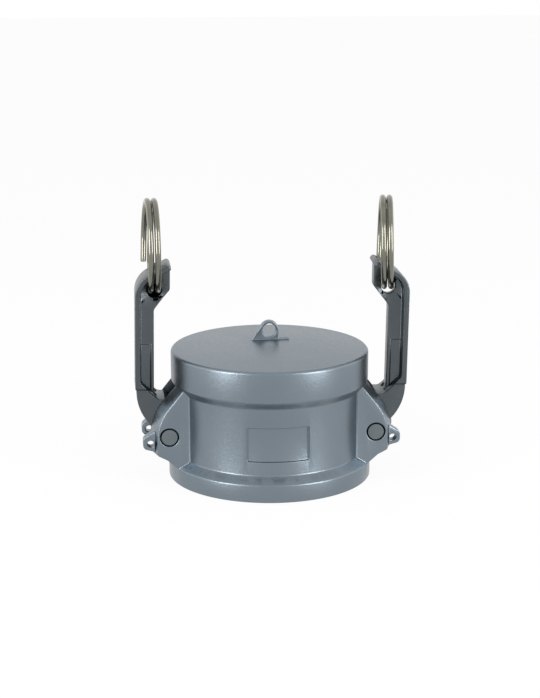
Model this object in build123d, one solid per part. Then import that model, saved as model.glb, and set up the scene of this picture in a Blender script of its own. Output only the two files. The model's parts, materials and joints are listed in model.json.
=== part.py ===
from build123d import *
import os
from math import cos, radians, sin, tan

# A camlock dust cap: a cast cup that closes the end of a hose coupling, held on by two cam arms
# that are pulled over with a finger ring each.
# Millimetres. +Z points from the open mouth to the closed end, and the mouth's rim lies on z = 0.
# The arms stand at +X and -X, their pins run along Y, and the recessed panel faces -Y.

# Cup
bore_radius = 32.0
cast_bore_step = 0.5         # how much wider the bore is below the machined land than at it
land_height = 8.5            # the machined stretch of bore below the gasket
wall = 3.4
mouth_chamfer = 0.8
flange_step = 3.8            # how far the mouth flange stands out from the wall
flange_height = 6.7
flange_slope = 2.6
band_step = 2.6              # how far the closed end's band stands out from the wall
band_height = 11.65
band_slope = 3.2
lid_thickness = 7.75
top_chamfer = 0.8

# Gasket
gasket_thickness = 6.35
gasket_width = 7.85
gasket_lip = 1.3             # how far the gasket reaches out under the groove's lip
gasket_play = 0.15

# Pivot pins
pin_radius = 3.0
pin_stand_off = 4.1          # from the cup's wall to the pin's axis
pin_height = 19.2
pin_running_gap = 0.05
pin_sink_radius = 3.6
pin_sink_depth = 1.3
pin_setback = 0.2            # how far the pin's end lies below the ear's face

# Windows in the wall, through which the cams reach into the bore
window_below_pin = 8.2
window_above_pin = 13.3
window_corner = 2.0
land_above_window = 3.0

# Ears, measured from the pin's axis on their outer faces
ear_thickness = 7.6
ear_draft = 17.0
ear_round_radius = 19.3
ear_round_reach = 4.5        # from the pin out to the round's outermost point
ear_round_drop = 1.2
ear_top_slope = 51.3
ear_foot_drop = 7.3
ear_foot_run = 3.6           # how far the foot runs in at a shallow slope before it turns steeper
ear_foot_fall = 1.85
ear_foot_slope = 42.0
ear_side_gap = 0.4
ear_root_round = 1.2

# Eyelets on the ears, for a locking wire behind the closed arm, measured from the pin's axis
eyelet_reach = 7.1
eyelet_drop = 3.4
eyelet_hole_radius = 1.3
eyelet_thickness = 4.2
eyelet_outer = 10.0          # from the pin out to the eyelet's outer edge
eyelet_top = 1.5
eyelet_shoulder = -1.3
eyelet_corner = -5.4
eyelet_foot = -6.9
eyelet_round = 1.9

# Recessed panel on the front of the cup
panel_width = 23.2
panel_bottom = 14.6
panel_top = 27.6
panel_depth = 1.0
panel_corner = 0.6

# Chain lug on the closed end
lug_offset_x = 1.4
lug_offset_y = 13.0
lug_half_base = 7.5
lug_hole_height = 3.8
lug_hole_radius = 2.65
lug_hole_shift = -0.3        # how far the hole stands off the middle of the fin's base
lug_rim = 1.0
lug_thickness = 3.2
lug_foot_height = 0.7
lug_foot_round = 0.4

# Cam arms, measured from the pin's axis: u runs outwards and w runs up
arm_width = 15.0
arm_back = 12.7              # the outer face of the back plate
plate_thickness = 2.1
web_thickness = 5.5
web_front = 5.5
web_corner = 2.5
eye_reach = 5.35
eye_height = 53.9
eye_radius = 2.75
dish_radius = 6.6
dish_inner_radius = 3.1
dish_depth = 1.2
bend_rise = 4.1              # from the eye up to the corner where the back plate turns in
bend_radius = 9.5
lip_angle = 28.5
lip_length = 14.4
lip_top_round = 1.2
lip_under_round = 0.35
head_front = -0.55
head_corner_rise = 0.4
neck_fall = 7.6              # the head narrows to the web over this height
neck_round = 2.0
heel_height = 12.7
heel_front = 1.3
heel_flat_end = 4.1
heel_rise = 6.4
heel_round = 3.0
shoulder_height = 16.6
heel_bulge_u = 11.0
heel_bulge_w = 8.9
heel_end_angle = 17.0
hub_radius = 6.6
nose_reach = 12.0
nose_radius = 3.0
nose_height = 1.2
shoulder_ledge = 0.45        # how far the back plate stands out over the heel, on three sides
pad_front_gap = 1.2          # the raised pad low on the web, from the web's front edge
pad_top = 33.3
pad_height = 0.3
arm_lean_right = 0.75        # degrees that the arm stands outwards from upright in the photo
arm_lean_left = -1.05

# Pull rings, each two turns of round wire
wire_radius = 1.12
wire_sides = 8               # the round wire is drawn with this many flats, to keep it light
ring_radius = 16.8
ring_pitch = 2.55
ring_turns = 1.99
ring_steps = 34              # straight runs that stand for one turn, to keep it light
ring_cut_right = 32.0        # degrees from the eye round to the wire's two ends
ring_cut_left = 59.0
ring_twist_right = -9.0      # degrees that the loose ring stands turned about its upright line
ring_twist_left = 1.0
ring_lean_right = 0.0        # degrees that it stands outwards from upright
ring_lean_left = -1.25

body_radius = bore_radius + wall
flange_radius = body_radius + flange_step
band_radius = body_radius + band_step
window_bottom = pin_height - window_below_pin
window_top = pin_height + window_above_pin
groove_bottom = window_top + land_above_window
groove_top = groove_bottom + gasket_play + gasket_thickness
groove_radius = bore_radius + gasket_lip + gasket_play / 2
cap_height = groove_top + lid_thickness
band_bottom = cap_height - band_height
pin_x = body_radius + pin_stand_off
gap_half = arm_width / 2 + ear_side_gap
ear_face = gap_half + ear_thickness
ALONG_Y = Plane.XZ.offset    # a sketch plane facing -Y at a given distance from the middle


def mirrored(shape):
    return mirror(shape, about=Plane.YZ)


def across(sketch, half_width):
    """A solid with this outline, standing half_width to each side of the middle plane."""
    return extrude(sketch, amount=half_width, both=True)


def rod_y(radius, x, z, y_from, y_to):
    """A round bar along Y."""
    place = Location((x, (y_from + y_to) / 2, z), (90, 0, 0))
    return place * Cylinder(radius, y_to - y_from)


def cup():
    """The turned outline of the cup, solid right through."""
    with BuildSketch(Plane.XZ) as half:
        with BuildLine():
            Polyline(
                (0, 0),
                (flange_radius, 0),
                (flange_radius, flange_height),
                (body_radius, flange_height + flange_slope),
                (body_radius, band_bottom - band_slope),
                (band_radius, band_bottom),
                (band_radius, cap_height),
                (0, cap_height),
                close=True,
            )
        make_face()
        chamfer(half.vertices().group_by(Axis.Y)[-1].sort_by(Axis.X)[-1], top_chamfer)
    return revolve(half.sketch, Axis.Z)


def hollow():
    """The bore: the wider mouth, the machined land, and the groove that holds the gasket."""
    mouth_radius = bore_radius + cast_bore_step
    land_bottom = groove_bottom - land_height
    with BuildSketch(Plane.XZ) as half:
        with BuildLine():
            Polyline(
                (0, -1),
                (mouth_radius + mouth_chamfer + 1, -1),
                (mouth_radius, mouth_chamfer),
                (mouth_radius, land_bottom - cast_bore_step),
                (bore_radius, land_bottom),
                (bore_radius, groove_bottom),
                (groove_radius, groove_bottom),
                (groove_radius, groove_top),
                (0, groove_top),
                close=True,
            )
        make_face()
    return revolve(half.sketch, Axis.Z)


def ear_foot():
    """The lower edge of the right-hand ears, from its outer corner in to the flange."""
    corner = (pin_x + ear_round_reach, pin_height - ear_foot_drop)
    knee = (corner[0] - ear_foot_run, corner[1] - ear_foot_fall)
    low_z = flange_height - 2
    return corner, knee, (knee[0] - (knee[1] - low_z) / tan(radians(ear_foot_slope)), low_z)


def ear_outline():
    """The outer face of the right-hand ears, run on into the cup, where the bore trims it."""
    round_x = pin_x + ear_round_reach - ear_round_radius
    round_z = pin_height - ear_round_drop
    slope = radians(ear_top_slope)
    touch = (round_x + ear_round_radius * sin(slope), round_z + ear_round_radius * cos(slope))
    middle = radians(90 - ear_top_slope) / 2
    half_way = (round_x + ear_round_radius * cos(middle), round_z + ear_round_radius * sin(middle))
    outermost = (pin_x + ear_round_reach, round_z)
    foot, knee, low = ear_foot()
    inside_x = body_radius * 0.72
    top_z = band_bottom + 2
    top_x = touch[0] - (top_z - touch[1]) / tan(slope)
    with BuildSketch(ALONG_Y(ear_face)) as face:
        with BuildLine():
            Line((top_x, top_z), touch)
            ThreePointArc(touch, half_way, outermost)
            Polyline(
                outermost, foot, knee, low, (inside_x, low[1]), (inside_x, top_z), (top_x, top_z)
            )
        make_face()
    return face.sketch


def eyelet():
    """The front eyelet, a rounded tab that stands out from the ear next to the arm."""
    corners = (
        (ear_round_reach - 1.5, eyelet_top),
        (ear_round_reach + 1.2, eyelet_top),
        (eyelet_outer, eyelet_shoulder),
        (eyelet_outer, eyelet_corner),
        (ear_round_reach, eyelet_foot),
        (ear_round_reach - 1.5, eyelet_foot),
    )
    with BuildSketch(ALONG_Y(gap_half + eyelet_thickness)) as tab:
        with BuildLine():
            Polyline([(pin_x + u, pin_height + w) for u, w in corners], close=True)
        make_face()
        fillet(tab.vertices().group_by(Axis.X)[-1], eyelet_round)
    return extrude(tab.sketch, amount=-eyelet_thickness)


def right_ears():
    """The two ears that hold one pin, drafted so that they widen towards the arm, but flat below."""
    front = extrude(ear_outline(), amount=-ear_thickness, taper=-ear_draft)
    corner, knee, low = ear_foot()
    far_x = corner[0] + ear_thickness
    with BuildSketch(ALONG_Y(ear_face)) as under:
        with BuildLine():
            Polyline(
                corner, knee, low, (low[0], 0), (far_x, 0), (far_x, corner[1]), close=True
            )
        make_face()
    front -= extrude(under.sketch, amount=-ear_thickness)
    front += eyelet()
    return front + mirror(front, about=Plane.XZ)


def right_window():
    """The opening through the wall between the two ears."""
    height = window_top - window_bottom
    middle = Plane((0, 0, (window_bottom + window_top) / 2), x_dir=(0, 1, 0), z_dir=(1, 0, 0))
    outline = middle * RectangleRounded(2 * gap_half, height, window_corner)
    return extrude(outline, amount=pin_x + ear_round_radius)


def right_ear_holes():
    """The pin's hole with its two sunk rims, and the eyelets' wire holes."""
    holes = rod_y(pin_radius, pin_x, pin_height, -ear_face, ear_face)
    for side in (-1, 1):
        sink = sorted((side * (ear_face - pin_sink_depth), side * (ear_face + 1)))
        holes += rod_y(pin_sink_radius, pin_x, pin_height, *sink)
    holes += rod_y(
        eyelet_hole_radius, pin_x + eyelet_reach, pin_height - eyelet_drop, -ear_face, ear_face
    )
    return holes


def panel_recess():
    """A shallow field in the front wall, with a floor that follows the wall's curve."""
    middle = ALONG_Y(0) * Location((0, (panel_bottom + panel_top) / 2, 0))
    block = extrude(
        middle * RectangleRounded(panel_width, panel_top - panel_bottom, panel_corner),
        amount=body_radius + 5,
    )
    return block - Cylinder(
        body_radius - panel_depth, cap_height, align=(Align.CENTER, Align.CENTER, Align.MIN)
    )


def chain_lug():
    """A thin fin with a hole, for the chain that keeps the cap with its hose."""
    rim = lug_hole_radius + lug_rim
    with BuildSketch(ALONG_Y(0)) as fin:
        with BuildLine():
            Polyline(
                (-lug_half_base, -1),
                (lug_half_base, -1),
                (lug_half_base, lug_foot_height),
                (lug_hole_shift + rim, lug_foot_height),
                (lug_hole_shift + rim, lug_hole_height),
                (lug_hole_shift - rim * 0.82, lug_hole_height + rim * 0.57),
                (-lug_half_base, 0),
                close=True,
            )
        make_face()
        with Locations((lug_hole_shift, lug_hole_height)):
            Circle(rim)
            Circle(lug_hole_radius, mode=Mode.SUBTRACT)
    place = Location((lug_offset_x, lug_offset_y, cap_height))
    return place * across(fin.sketch, lug_thickness / 2)


def cap_body():
    """The whole casting, with the bore and the gasket's groove machined into it."""
    shape = cup() + chain_lug()
    straight = shape.edges().filter_by(GeomType.LINE)
    lug_foot = straight.group_by(lambda e: abs(e.center().Z - cap_height))[0]
    shape = fillet(lug_foot, lug_foot_round)
    ears = right_ears()
    shape += ears
    shape += mirrored(ears)
    upright = shape.edges().filter_by(Axis.Z)
    ear_roots = upright.filter_by(lambda e: abs(abs(e.center().Y) - ear_face) < 0.01)
    ear_roots = ear_roots.filter_by(lambda e: abs(e.center().X) < body_radius)
    shape = fillet(ear_roots, ear_root_round)
    shape -= hollow()
    for cutter in (right_window(), right_ear_holes()):
        shape -= cutter
        shape -= mirrored(cutter)
    return shape - panel_recess()


def gasket():
    """A flat ring of rubber, pushed into the groove against the closed end."""
    outer = bore_radius + gasket_lip
    middle = outer - gasket_width / 2
    with BuildSketch(Plane.XZ) as section:
        with Locations((middle, groove_top - gasket_thickness / 2)):
            Rectangle(gasket_width, gasket_thickness)
    return revolve(section.sketch, Axis.Z)


def right_pin():
    """A plain pin, pressed into the ears."""
    return rod_y(pin_radius, pin_x, pin_height, pin_setback - ear_face, ear_face - pin_setback)


def rounded(face, point, radius):
    """The face with its corner at this point rounded."""
    return fillet(face.vertices().sort_by_distance(Vector(*point))[0:1], radius)


def lip():
    """The corners of the arm's lip: where the plate's faces turn, outside and inside, and its tip."""
    angle = radians(lip_angle)
    along, out = Vector(-cos(angle), sin(angle)), Vector(sin(angle), cos(angle))
    turn = Vector(arm_back, eye_height + bend_rise)
    tip_top = turn + along * lip_length
    tip_bottom = tip_top - out * plate_thickness
    inner_x = arm_back - plate_thickness
    inner_turn = tip_bottom - along * ((tip_bottom.X - inner_x) / along.X)
    head_top = tip_bottom - along * ((tip_bottom.X - head_front) / along.X)
    return turn, tip_top, tip_bottom, head_top, inner_turn, tip_bottom + along * 4


def arm_side():
    """The side view of the right arm above its cam: heel, web, back plate and lip."""
    turn, tip_top, tip_bottom, head_top, _, _ = lip()
    head_bottom = (head_front, eye_height + head_corner_rise)
    neck = (web_front, eye_height + head_corner_rise - neck_fall)
    web_foot = (web_front, heel_height)
    heel_end = radians(heel_end_angle)
    hub_edge = (hub_radius * cos(heel_end), hub_radius * sin(heel_end))
    shoulder = (arm_back - shoulder_ledge, shoulder_height)
    outline = Polyline(
        shoulder, (arm_back, shoulder_height), turn, tip_top, tip_bottom, head_top, head_bottom,
        neck, web_foot, (heel_front, heel_height), (0, heel_height - hub_radius), (0, 0), hub_edge,
    )
    bulge = ThreePointArc(hub_edge, (heel_bulge_u, heel_bulge_w), shoulder)
    side = make_face(outline.edges() + bulge.edges())
    for corner, radius in (
        (turn, bend_radius),
        (tip_top, lip_top_round),
        (tip_bottom, lip_under_round),
        (head_bottom, neck_round),
        (neck, neck_round),
        (web_foot, web_corner),
    ):
        side = rounded(side, corner, radius)
    return side


def cam_side():
    """The cam: a nose that reaches through the window, wrapped round with the hub and the heel."""
    heel_corner = 1.0
    circles = Circle(hub_radius)
    circles += Pos(nose_radius - nose_reach, nose_height) * Circle(nose_radius)
    circles += Pos(heel_front + heel_corner, heel_height - heel_corner) * Circle(heel_corner)
    return make_hull(circles.edges())


def pocket_side():
    """What is left out on both sides of the web: it is open towards the cup, and the heel slopes up
    to the back plate."""
    _, _, _, _, inner_turn, beyond_tip = lip()
    plate_face = arm_back - plate_thickness
    flat_end = (heel_flat_end, heel_height)
    heel_top = (plate_face, heel_height + heel_rise)
    clear = beyond_tip.X - 2
    outline = Polyline(
        (clear, heel_height), flat_end, heel_top, inner_turn, beyond_tip, (clear, beyond_tip.Y),
        close=True,
    )
    side = make_face(outline.edges())
    side = rounded(side, flat_end, heel_round)
    side = rounded(side, heel_top, heel_round)
    return rounded(side, inner_turn, bend_radius - plate_thickness)


def right_arm(lean):
    """The arm is drawn with its pin at the origin, then leant outwards and moved to the pin."""
    half_web = web_thickness / 2
    arm = across(arm_side() + cam_side(), arm_width / 2)
    pocket = extrude(Pos(0, 0, half_web) * pocket_side(), amount=arm_width)
    opening = across(pocket_side(), arm_width)
    arm -= pocket
    arm -= mirror(pocket, about=Plane.XY)
    pad_width = arm_back - web_front - pad_front_gap
    pad = Pos(web_front + pad_front_gap + pad_width / 2, pad_top / 2) * Box(
        pad_width, pad_top, 2 * (half_web + pad_height)
    )
    arm += pad & opening
    for face in (-1, 1):
        arm -= Pos(0, shoulder_height - 30, face * arm_width / 2) * Box(60, 60, 2 * shoulder_ledge)
    arm -= Cylinder(pin_radius + pin_running_gap, 2 * arm_width)
    arm -= Pos(eye_reach, eye_height) * Cylinder(eye_radius, arm_width)
    for face in (-1, 1):
        dish = Rot(0, 90 - 90 * face, 0) * Cone(dish_inner_radius, dish_radius, dish_depth)
        arm -= (Pos(eye_reach, eye_height, face * (half_web - dish_depth / 2)) * dish) & opening
    upright = Plane((pin_x, 0, pin_height), x_dir=(1, 0, 0), z_dir=(0, -1, 0))
    return upright * (Rot(0, 0, -lean) * arm)


def coil_point(turns):
    """The point this far along a coil that starts at its lowest point and climbs evenly."""
    angle = radians(360 * turns)
    return Vector(ring_radius * sin(angle), -ring_radius * cos(angle), ring_pitch * (turns - 1.5))


def pull_ring(side, arm_lean, lean, twist, cut_angle):
    """Two turns of round wire through an arm's eye, with the wire's two ends side by side.

    side is 1 for the right arm and -1 for the left. cut_angle is how far round from the eye the
    wire's ends lie."""
    first = cut_angle / 360
    steps = round(ring_turns * ring_steps)
    points = [coil_point(first + ring_turns * step / steps) for step in range(steps + 1)]
    path = Polyline(*points)
    section = Plane(points[0], z_dir=path % 0) * RegularPolygon(wire_radius, wire_sides)
    wire = sweep(section, path=path, transition=Transition.RIGHT)
    upright = Plane((0, 0, ring_radius), x_dir=(0, 1, 0), z_dir=(1, 0, 0))
    hung = Rot(0, side * lean, 0) * (Rot(0, 0, twist) * (upright * wire))
    swing = radians(arm_lean)
    eye_x = pin_x + eye_reach * cos(swing) + eye_height * sin(swing)
    eye_z = pin_height + eye_height * cos(swing) - eye_reach * sin(swing)
    return Pos(side * eye_x, 0, eye_z) * hung


def build():
    pin = right_pin()
    return {
        "cap_body": cap_body(),
        "gasket": gasket(),
        "pivot_pin_right": pin,
        "pivot_pin_left": mirrored(pin),
        "cam_arm_right": right_arm(arm_lean_right),
        "cam_arm_left": mirrored(right_arm(arm_lean_left)),
        "pull_ring_right": pull_ring(
            1, arm_lean_right, ring_lean_right, ring_twist_right, ring_cut_right
        ),
        "pull_ring_left": pull_ring(
            -1, arm_lean_left, ring_lean_left, ring_twist_left, ring_cut_left
        ),
    }


os.makedirs("parts", exist_ok=True)
for name, piece in build().items():
    export_step(piece, f"parts/{name}.step")
    print(f"{name}: {piece.volume / 1000:.2f} cm3, {len(piece.solids())} solid(s)")
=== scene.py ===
"""A camlock dust cap in cast stainless steel, dressed for its photograph.

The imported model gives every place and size. Each class here makes the visible form of one
sub-assembly, in metres and in the model's own frame, and gives it the finish of the real piece.
"""

from __future__ import annotations

import json
import logging
import math
from dataclasses import dataclass
from enum import Enum

import bmesh
import bpy
from mathutils import Matrix, Vector

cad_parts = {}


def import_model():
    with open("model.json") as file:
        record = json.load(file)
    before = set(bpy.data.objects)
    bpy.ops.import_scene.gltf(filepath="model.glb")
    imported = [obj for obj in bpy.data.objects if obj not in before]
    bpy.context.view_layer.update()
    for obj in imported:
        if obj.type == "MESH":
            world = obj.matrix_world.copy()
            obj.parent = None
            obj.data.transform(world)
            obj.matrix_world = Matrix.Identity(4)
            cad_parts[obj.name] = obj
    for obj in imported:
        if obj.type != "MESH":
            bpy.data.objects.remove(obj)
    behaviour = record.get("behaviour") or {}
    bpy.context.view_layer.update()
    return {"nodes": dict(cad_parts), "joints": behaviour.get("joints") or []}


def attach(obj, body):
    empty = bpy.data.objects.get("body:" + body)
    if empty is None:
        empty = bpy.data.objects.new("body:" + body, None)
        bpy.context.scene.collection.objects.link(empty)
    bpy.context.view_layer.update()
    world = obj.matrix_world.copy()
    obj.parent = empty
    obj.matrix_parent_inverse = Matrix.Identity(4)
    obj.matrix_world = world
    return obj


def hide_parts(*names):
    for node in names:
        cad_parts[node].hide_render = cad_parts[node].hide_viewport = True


LOG = logging.getLogger("dust_cap")
MM = 0.001


class Side(Enum):
    """Which arm a piece belongs to, and the sign of its X."""

    LEFT = -1
    RIGHT = 1


def linear(hex_colour: str) -> tuple[float, float, float, float]:
    """Turn an sRGB hex colour into the linear values that Blender's sockets take.

    Args:
        hex_colour: Six hex digits, without a leading sign.

    Returns:
        Red, green, blue and an alpha of 1.
    """
    channels = [int(hex_colour[i : i + 2], 16) / 255 for i in (0, 2, 4)]
    red, green, blue = (
        c / 12.92 if c <= 0.04045 else ((c + 0.055) / 1.055) ** 2.4 for c in channels
    )
    return (red, green, blue, 1.0)


def add_node(
    tree: bpy.types.NodeTree, kind: str, inputs: dict | None = None, **settings
) -> bpy.types.Node:
    """Add one node with its settings, values and links.

    Args:
        tree: The tree that gets the node.
        kind: The node's type name.
        inputs: For each input, named or numbered, a value or the output socket that feeds it.
        settings: Attributes of the node itself.

    Returns:
        The new node.
    """
    node = tree.nodes.new(kind)
    for name, value in settings.items():
        setattr(node, name, value)
    for name, value in (inputs or {}).items():
        if isinstance(value, bpy.types.NodeSocket):
            tree.links.new(value, node.inputs[name])
        else:
            node.inputs[name].default_value = value
    return node


@dataclass(frozen=True)
class CastStainless:
    """Investment-cast stainless steel, blasted: a satin metal with a pebbled skin.

    Each grain is about a millimetre across and only hundredths of a millimetre high, which breaks
    a reflection up without hiding it.
    """

    name: str
    colour: str
    dark_colour: str
    roughness: float = 0.33
    grain_mm: float = 0.9
    grain_height_mm: float = 0.05
    cloud_mm: float = 14.0

    def material(self) -> bpy.types.Material:
        """Build the finish as a node material."""
        made = bpy.data.materials.new(self.name)
        made.use_nodes = True
        tree = made.node_tree
        shader = tree.nodes["Principled BSDF"]
        place = add_node(tree, "ShaderNodeTexCoord").outputs["Object"]
        cloud = add_node(
            tree,
            "ShaderNodeTexNoise",
            {"Vector": place, "Scale": 1 / (self.cloud_mm * MM), "Detail": 3.0},
        )
        tint = add_node(
            tree,
            "ShaderNodeMix",
            {0: cloud.outputs["Fac"], 6: linear(self.dark_colour), 7: linear(self.colour)},
            data_type="RGBA",
        )
        tree.links.new(tint.outputs[2], shader.inputs["Base Color"])
        grain = add_node(
            tree,
            "ShaderNodeTexNoise",
            {
                "Vector": place,
                "Scale": 1 / (self.grain_mm * MM),
                "Detail": 4.0,
                "Roughness": 0.6,
            },
        )
        dull = add_node(
            tree,
            "ShaderNodeMapRange",
            {
                0: grain.outputs["Fac"],
                1: 0.3,
                2: 0.7,
                3: self.roughness - 0.04,
                4: self.roughness + 0.06,
            },
        )
        tree.links.new(dull.outputs[0], shader.inputs["Roughness"])
        bump = add_node(
            tree,
            "ShaderNodeBump",
            {
                "Height": grain.outputs["Fac"],
                "Distance": self.grain_height_mm * MM,
                "Strength": 1.0,
            },
        )
        tree.links.new(bump.outputs[0], shader.inputs["Normal"])
        shader.inputs["Metallic"].default_value = 1.0
        return made


@dataclass(frozen=True)
class DrawnSteel:
    """Drawn or turned stainless steel, tumbled bright: smooth, with faint haze in its gloss."""

    name: str
    colour: str
    dark_colour: str
    roughness: float
    haze_mm: float = 5.0

    def material(self) -> bpy.types.Material:
        """Build the finish as a node material."""
        made = bpy.data.materials.new(self.name)
        made.use_nodes = True
        tree = made.node_tree
        shader = tree.nodes["Principled BSDF"]
        place = add_node(tree, "ShaderNodeTexCoord").outputs["Object"]
        haze = add_node(
            tree,
            "ShaderNodeTexNoise",
            {"Vector": place, "Scale": 1 / (self.haze_mm * MM), "Detail": 4.0},
        )
        tint = add_node(
            tree,
            "ShaderNodeMix",
            {0: haze.outputs["Fac"], 6: linear(self.dark_colour), 7: linear(self.colour)},
            data_type="RGBA",
        )
        tree.links.new(tint.outputs[2], shader.inputs["Base Color"])
        dull = add_node(
            tree,
            "ShaderNodeMapRange",
            {
                0: haze.outputs["Fac"],
                1: 0.3,
                2: 0.7,
                3: self.roughness * 0.8,
                4: self.roughness * 1.3,
            },
        )
        tree.links.new(dull.outputs[0], shader.inputs["Roughness"])
        shader.inputs["Metallic"].default_value = 1.0
        return made


@dataclass(frozen=True)
class NitrileRubber:
    """Moulded nitrile rubber: nearly black and dull, with a faint bloom."""

    name: str = "nitrile_rubber_moulded"
    colour: str = "1b1b1c"
    bloom_colour: str = "2a2a2b"

    def material(self) -> bpy.types.Material:
        """Build the finish as a node material."""
        made = bpy.data.materials.new(self.name)
        made.use_nodes = True
        tree = made.node_tree
        shader = tree.nodes["Principled BSDF"]
        place = add_node(tree, "ShaderNodeTexCoord").outputs["Object"]
        bloom = add_node(
            tree,
            "ShaderNodeTexNoise",
            {"Vector": place, "Scale": 1 / (3.0 * MM), "Detail": 5.0},
        )
        tint = add_node(
            tree,
            "ShaderNodeMix",
            {0: bloom.outputs["Fac"], 6: linear(self.colour), 7: linear(self.bloom_colour)},
            data_type="RGBA",
        )
        tree.links.new(tint.outputs[2], shader.inputs["Base Color"])
        shader.inputs["Roughness"].default_value = 0.6
        return made


CAST_BODY = CastStainless("stainless_steel_cast_blasted", "7c868e", "737d85")
CAST_ARM = CastStainless("stainless_steel_cast_arm", "5c6265", "4c5255", roughness=0.3)
RING_WIRE = DrawnSteel("stainless_wire_drawn_bright", "8c8a7e", "6c6b62", 0.16)
PIN_STEEL = DrawnSteel("stainless_pin_turned", "757d80", "666e71", 0.3)
GASKET_RUBBER = NitrileRubber()


def mesh_piece(name: str, mesh: bpy.types.Mesh, material: bpy.types.Material) -> bpy.types.Object:
    """Put a finished mesh into the scene as an object at the origin.

    Args:
        name: The new object's name.
        mesh: The mesh, already in its place.
        material: The finish of the whole mesh.

    Returns:
        The new object.
    """
    mesh.materials.clear()
    mesh.materials.append(material)
    piece = bpy.data.objects.new(name, mesh)
    bpy.context.scene.collection.objects.link(piece)
    return piece


def plain_mesh(piece: bpy.types.Object) -> None:
    """Turn what an object's modifiers give into its own mesh, and take them off."""
    graph = bpy.context.evaluated_depsgraph_get()
    finished = bpy.data.meshes.new_from_object(piece.evaluated_get(graph))
    piece.modifiers.clear()
    piece.data = finished


def eased_casting(
    name: str, node: bpy.types.Object, ease_mm: float, material: bpy.types.Material
) -> bpy.types.Object:
    """Copy a casting's exact mesh and round its edges, as the mould and the blasting leave them.

    Args:
        name: The new object's name.
        node: The model's own object, which is left as it is.
        ease_mm: How wide the rounding of an edge is.
        material: The finish.

    Returns:
        The rounded copy.
    """
    shell = bmesh.new()
    shell.from_mesh(node.data)
    bmesh.ops.remove_doubles(shell, verts=shell.verts, dist=0.002 * MM)
    bmesh.ops.dissolve_limit(
        shell, angle_limit=math.radians(0.6), verts=shell.verts, edges=shell.edges
    )
    mesh = bpy.data.meshes.new(name)
    shell.to_mesh(mesh)
    shell.free()
    piece = mesh_piece(name, mesh, material)
    ease = piece.modifiers.new("ease", "BEVEL")
    ease.width = ease_mm * MM
    ease.segments = 3
    ease.limit_method = "ANGLE"
    ease.angle_limit = math.radians(24)
    ease.use_clamp_overlap = False
    plain_mesh(piece)
    piece.data.shade_smooth()
    piece.data.set_sharp_from_angle(angle=math.radians(38))
    return piece


@dataclass
class CupAssembly:
    """The cast cup with the gasket inside its closed end."""

    ease_mm: float = 0.35

    def build(self, nodes: dict[str, bpy.types.Object]) -> list[bpy.types.Object]:
        """Make the cup and dress the gasket.

        Args:
            nodes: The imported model's objects by name.

        Returns:
            The new pieces.
        """
        cup = eased_casting("cast_cup", nodes["cap_body"], self.ease_mm, CAST_BODY.material())
        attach(cup, "cap")
        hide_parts("cap_body")
        gasket = nodes["gasket"]
        gasket.data.materials.clear()
        gasket.data.materials.append(GASKET_RUBBER.material())
        return [cup]


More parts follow.
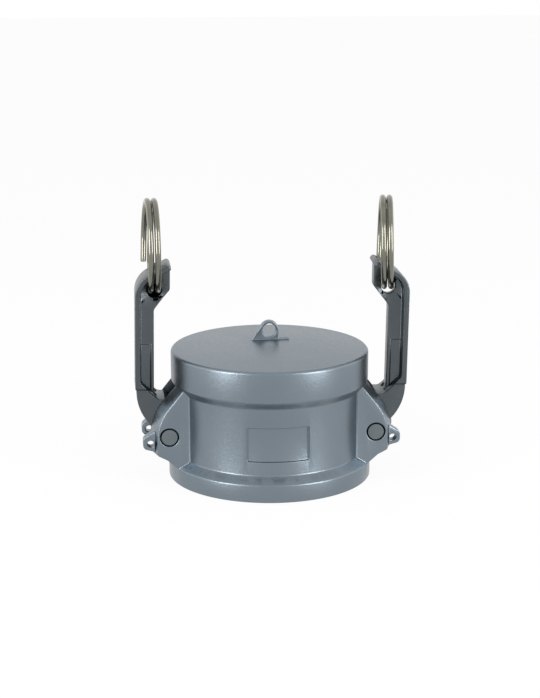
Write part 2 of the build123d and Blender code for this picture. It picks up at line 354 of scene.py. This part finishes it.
@dataclass
class ArmAssembly:
    """One cam arm with its pivot pin and its pull ring."""

    side: Side
    ease_mm: float = 0.4
    wire_radius_mm: float = 1.12
    ring_radius_mm: float = 16.8
    ring_pitch_mm: float = 2.55
    ring_turns: float = 1.99
    cut_deg: float = 32.0
    twist_deg: float = -9.0
    lean_deg: float = 0.0

    @property
    def word(self) -> str:
        """The side's name as the model's nodes and bodies spell it."""
        return self.side.name.lower()

    def arm(self, node: bpy.types.Object) -> bpy.types.Object:
        """Make the cast arm from its node."""
        name = f"cast_arm_{self.word}"
        made = eased_casting(name, node, self.ease_mm, CAST_ARM.material())
        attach(made, f"{self.word}_arm")
        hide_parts(f"cam_arm_{self.word}")
        return made

    def coil_tree(self) -> bpy.types.NodeTree:
        """Build the tree that winds the ring's wire and sweeps its round section along it."""
        tree = bpy.data.node_groups.new("wound_ring", "GeometryNodeTree")
        face = tree.interface
        face.new_socket("Geometry", in_out="INPUT", socket_type="NodeSocketGeometry")
        for name in ("Wire radius", "Ring radius", "Pitch", "Turns"):
            face.new_socket(name, in_out="INPUT", socket_type="NodeSocketFloat")
        face.new_socket("Finish", in_out="INPUT", socket_type="NodeSocketMaterial")
        face.new_socket("Geometry", in_out="OUTPUT", socket_type="NodeSocketGeometry")
        given = add_node(tree, "NodeGroupInput").outputs
        height = add_node(
            tree,
            "ShaderNodeMath",
            {0: given["Pitch"], 1: given["Turns"]},
            operation="MULTIPLY",
        )
        coil = add_node(
            tree,
            "GeometryNodeCurveSpiral",
            {
                "Resolution": 96,
                "Rotations": given["Turns"],
                "Start Radius": given["Ring radius"],
                "End Radius": given["Ring radius"],
                "Height": height.outputs[0],
                "Reverse": True,
            },
        )
        section = add_node(
            tree,
            "GeometryNodeCurvePrimitiveCircle",
            {"Resolution": 28, "Radius": given["Wire radius"]},
        )
        wire = add_node(
            tree,
            "GeometryNodeCurveToMesh",
            {
                "Curve": coil.outputs[0],
                "Profile Curve": section.outputs[0],
                "Fill Caps": True,
            },
        )
        whole = add_node(tree, "GeometryNodeRealizeInstances", {"Geometry": wire.outputs[0]})
        dressed = add_node(
            tree,
            "GeometryNodeSetMaterial",
            {"Geometry": whole.outputs[0], "Material": given["Finish"]},
        )
        add_node(tree, "NodeGroupOutput", {"Geometry": dressed.outputs[0]})
        return tree

    def ring(self, eye: Vector) -> bpy.types.Object:
        """Wind the pull ring and hang it in the arm's eye."""
        finish = RING_WIRE.material()
        piece = mesh_piece(
            f"wound_ring_{self.word}", bpy.data.meshes.new(f"wound_ring_{self.word}"), finish
        )
        winding = piece.modifiers.new("winding", "NODES")
        winding.node_group = self.coil_tree()
        sizes = {
            "Wire radius": self.wire_radius_mm * MM,
            "Ring radius": self.ring_radius_mm * MM,
            "Pitch": self.ring_pitch_mm * MM,
            "Turns": self.ring_turns,
            "Finish": finish,
        }
        for socket in winding.node_group.interface.items_tree:
            if socket.name in sizes:
                winding[socket.identifier] = sizes[socket.name]
        plain_mesh(piece)
        self.place_ring(piece.data, eye)
        piece.data.shade_smooth()
        piece.data.set_sharp_from_angle(angle=math.radians(50))
        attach(piece, f"{self.word}_ring")
        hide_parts(f"pull_ring_{self.word}")
        return piece

    def place_ring(self, coil: bpy.types.Mesh, eye: Vector) -> None:
        """Turn the wound coil upright, with its cut where it belongs, and move it to the eye.

        Args:
            coil: The coil, wound round the origin and climbing along Z.
            eye: The middle of the arm's eye.
        """
        side = self.side.value
        coil.transform(
            Matrix.Translation(eye)
            @ Matrix.Rotation(math.radians(side * self.lean_deg), 4, "Y")
            @ Matrix.Rotation(math.radians(self.twist_deg), 4, "Z")
            @ Matrix.Translation((0, 0, self.ring_radius_mm * MM))
            @ Matrix(((0, 0, 1, 0), (1, 0, 0, 0), (0, 1, 0, 0), (0, 0, 0, 1)))
            @ Matrix.Translation((0, 0, (self.cut_deg / 360 - 1.5) * self.ring_pitch_mm * MM))
            @ Matrix.Rotation(math.radians(self.cut_deg - 90), 4, "Z")
        )

    def pin(self, node: bpy.types.Object) -> None:
        """Dress the pivot pin."""
        node.data.materials.clear()
        node.data.materials.append(PIN_STEEL.material())

    def build(self, nodes: dict[str, bpy.types.Object], eye: Vector) -> list[bpy.types.Object]:
        """Make the arm, its ring and its pin.

        Args:
            nodes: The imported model's objects by name.
            eye: The middle of the arm's eye, which the ring swings about.

        Returns:
            The new pieces.
        """
        self.pin(nodes[f"pivot_pin_{self.word}"])
        return [self.arm(nodes[f"cam_arm_{self.word}"]), self.ring(eye)]


@dataclass
class Studio:
    """A pale floor, soft lamps and the camera at the photograph's viewing angle."""

    distance_mm: float = 650.0
    elevation_deg: float = 16.5
    turn_deg: float = 5.6
    target_z_mm: float = 24.875
    lens_mm: float = 86.24
    shift: tuple[float, float] = (0.0008, 0.086)

    def camera(self) -> None:
        """Place the camera."""
        data = bpy.data.cameras.new("camera")
        data.lens = self.lens_mm
        data.sensor_width = 36.0
        data.shift_x, data.shift_y = self.shift
        data.clip_start = 0.01
        data.clip_end = 20.0
        camera = bpy.data.objects.new("camera", data)
        bpy.context.scene.collection.objects.link(camera)
        up, turn = math.radians(self.elevation_deg), math.radians(self.turn_deg)
        aim = Vector((0, 0, self.target_z_mm * MM))
        back = Vector(
            (-math.sin(turn) * math.cos(up), -math.cos(turn) * math.cos(up), math.sin(up))
        )
        camera.location = aim + back * self.distance_mm * MM
        camera.rotation_euler = back.to_track_quat("Z", "Y").to_euler()
        bpy.context.scene.camera = camera

    def softbox(
        self, name: str, azimuth_deg: float, elevation_deg: float, size: tuple[float, float], power: float
    ) -> None:
        """Stand one rectangular lamp around the object, facing it.

        Args:
            name: The lamp's name.
            azimuth_deg: Its direction seen from above, from the camera's side round to the right.
            elevation_deg: Its height angle.
            size: Its width and height in metres.
            power: Its power in watts.
        """
        data = bpy.data.lights.new(name, "AREA")
        data.shape = "RECTANGLE"
        data.size, data.size_y = size
        data.energy = power
        lamp = bpy.data.objects.new(name, data)
        bpy.context.scene.collection.objects.link(lamp)
        turn, up = math.radians(azimuth_deg), math.radians(elevation_deg)
        out = Vector((math.sin(turn) * math.cos(up), -math.cos(turn) * math.cos(up), math.sin(up)))
        lamp.location = Vector((0, 0, 0.04)) + out * 0.6
        lamp.rotation_euler = out.to_track_quat("Z", "Y").to_euler()

    def shown(self, tree: bpy.types.NodeTree) -> bpy.types.NodeSocket:
        """Give 1 where the camera, a reflection or a view through glass meets the background."""
        ray = add_node(tree, "ShaderNodeLightPath").outputs
        direct = add_node(
            tree,
            "ShaderNodeMath",
            {0: ray["Is Camera Ray"], 1: ray["Is Glossy Ray"]},
            operation="MAXIMUM",
        )
        seen = add_node(
            tree,
            "ShaderNodeMath",
            {0: direct.outputs[0], 1: ray["Is Transmission Ray"]},
            operation="MAXIMUM",
        )
        return seen.outputs[0]

    def floor(self) -> None:
        """Lay a pale floor that shows white to the camera and keeps the object's shadow."""
        shell = bmesh.new()
        bmesh.ops.create_grid(shell, x_segments=1, y_segments=1, size=3.0)
        mesh = bpy.data.meshes.new("floor")
        shell.to_mesh(mesh)
        shell.free()
        made = bpy.data.materials.new("floor_paper")
        made.use_nodes = True
        tree = made.node_tree
        shader = tree.nodes["Principled BSDF"]
        shader.inputs["Base Color"].default_value = (0.8, 0.8, 0.8, 1.0)
        shader.inputs["Roughness"].default_value = 0.9
        glow = add_node(tree, "ShaderNodeEmission", {"Color": (1, 1, 1, 1), "Strength": 1.0})
        seen = add_node(
            tree,
            "ShaderNodeMath",
            {0: self.shown(tree), 1: 0.93},
            operation="MULTIPLY",
        )
        mixed = add_node(
            tree,
            "ShaderNodeMixShader",
            {0: seen.outputs[0], 1: shader.outputs[0], 2: glow.outputs[0]},
        )
        tree.links.new(mixed.outputs[0], tree.nodes["Material Output"].inputs["Surface"])
        floor = mesh_piece("floor", mesh, made)

    def world(self) -> None:
        """Light all round with an even pale grey, and show white to the camera."""
        world = bpy.data.worlds.new("studio")
        bpy.context.scene.world = world
        world.use_nodes = True
        tree = world.node_tree
        strength = add_node(tree, "ShaderNodeMapRange", {0: self.shown(tree), 3: 0.7, 4: 1.0})
        background = tree.nodes["Background"]
        background.inputs["Color"].default_value = (1, 1, 1, 1)
        tree.links.new(strength.outputs[0], background.inputs["Strength"])

    def build(self) -> None:
        """Set up everything round the object."""
        self.camera()
        self.floor()
        self.world()
        self.softbox("softbox_left", -55, 12, (0.24, 0.7), 3.4)
        self.softbox("softbox_right", 48, 12, (0.22, 0.7), 3.2)
        self.softbox("fill_left", -112, 8, (0.6, 0.7), 0.7)
        self.softbox("fill_right", 108, 8, (0.6, 0.7), 0.6)
        bpy.context.scene.view_settings.view_transform = "Standard"


def main() -> None:
    """Build every piece in order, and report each."""
    logging.basicConfig(level=logging.INFO)
    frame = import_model()
    nodes = frame["nodes"]
    Studio().build()
    eyes = {joint["name"]: Vector(joint["pos_m"]) for joint in frame["joints"]}
    pieces = CupAssembly().build(nodes)
    for arm in (
        ArmAssembly(Side.RIGHT),
        ArmAssembly(Side.LEFT, cut_deg=59.0, twist_deg=1.0, lean_deg=-1.25),
    ):
        pieces += arm.build(nodes, eyes[f"{arm.word}_ring_swing"])
    for piece in pieces:
        LOG.info("%s: %d faces", piece.name, len(piece.data.polygons))


if __name__ == "__main__":
    main()
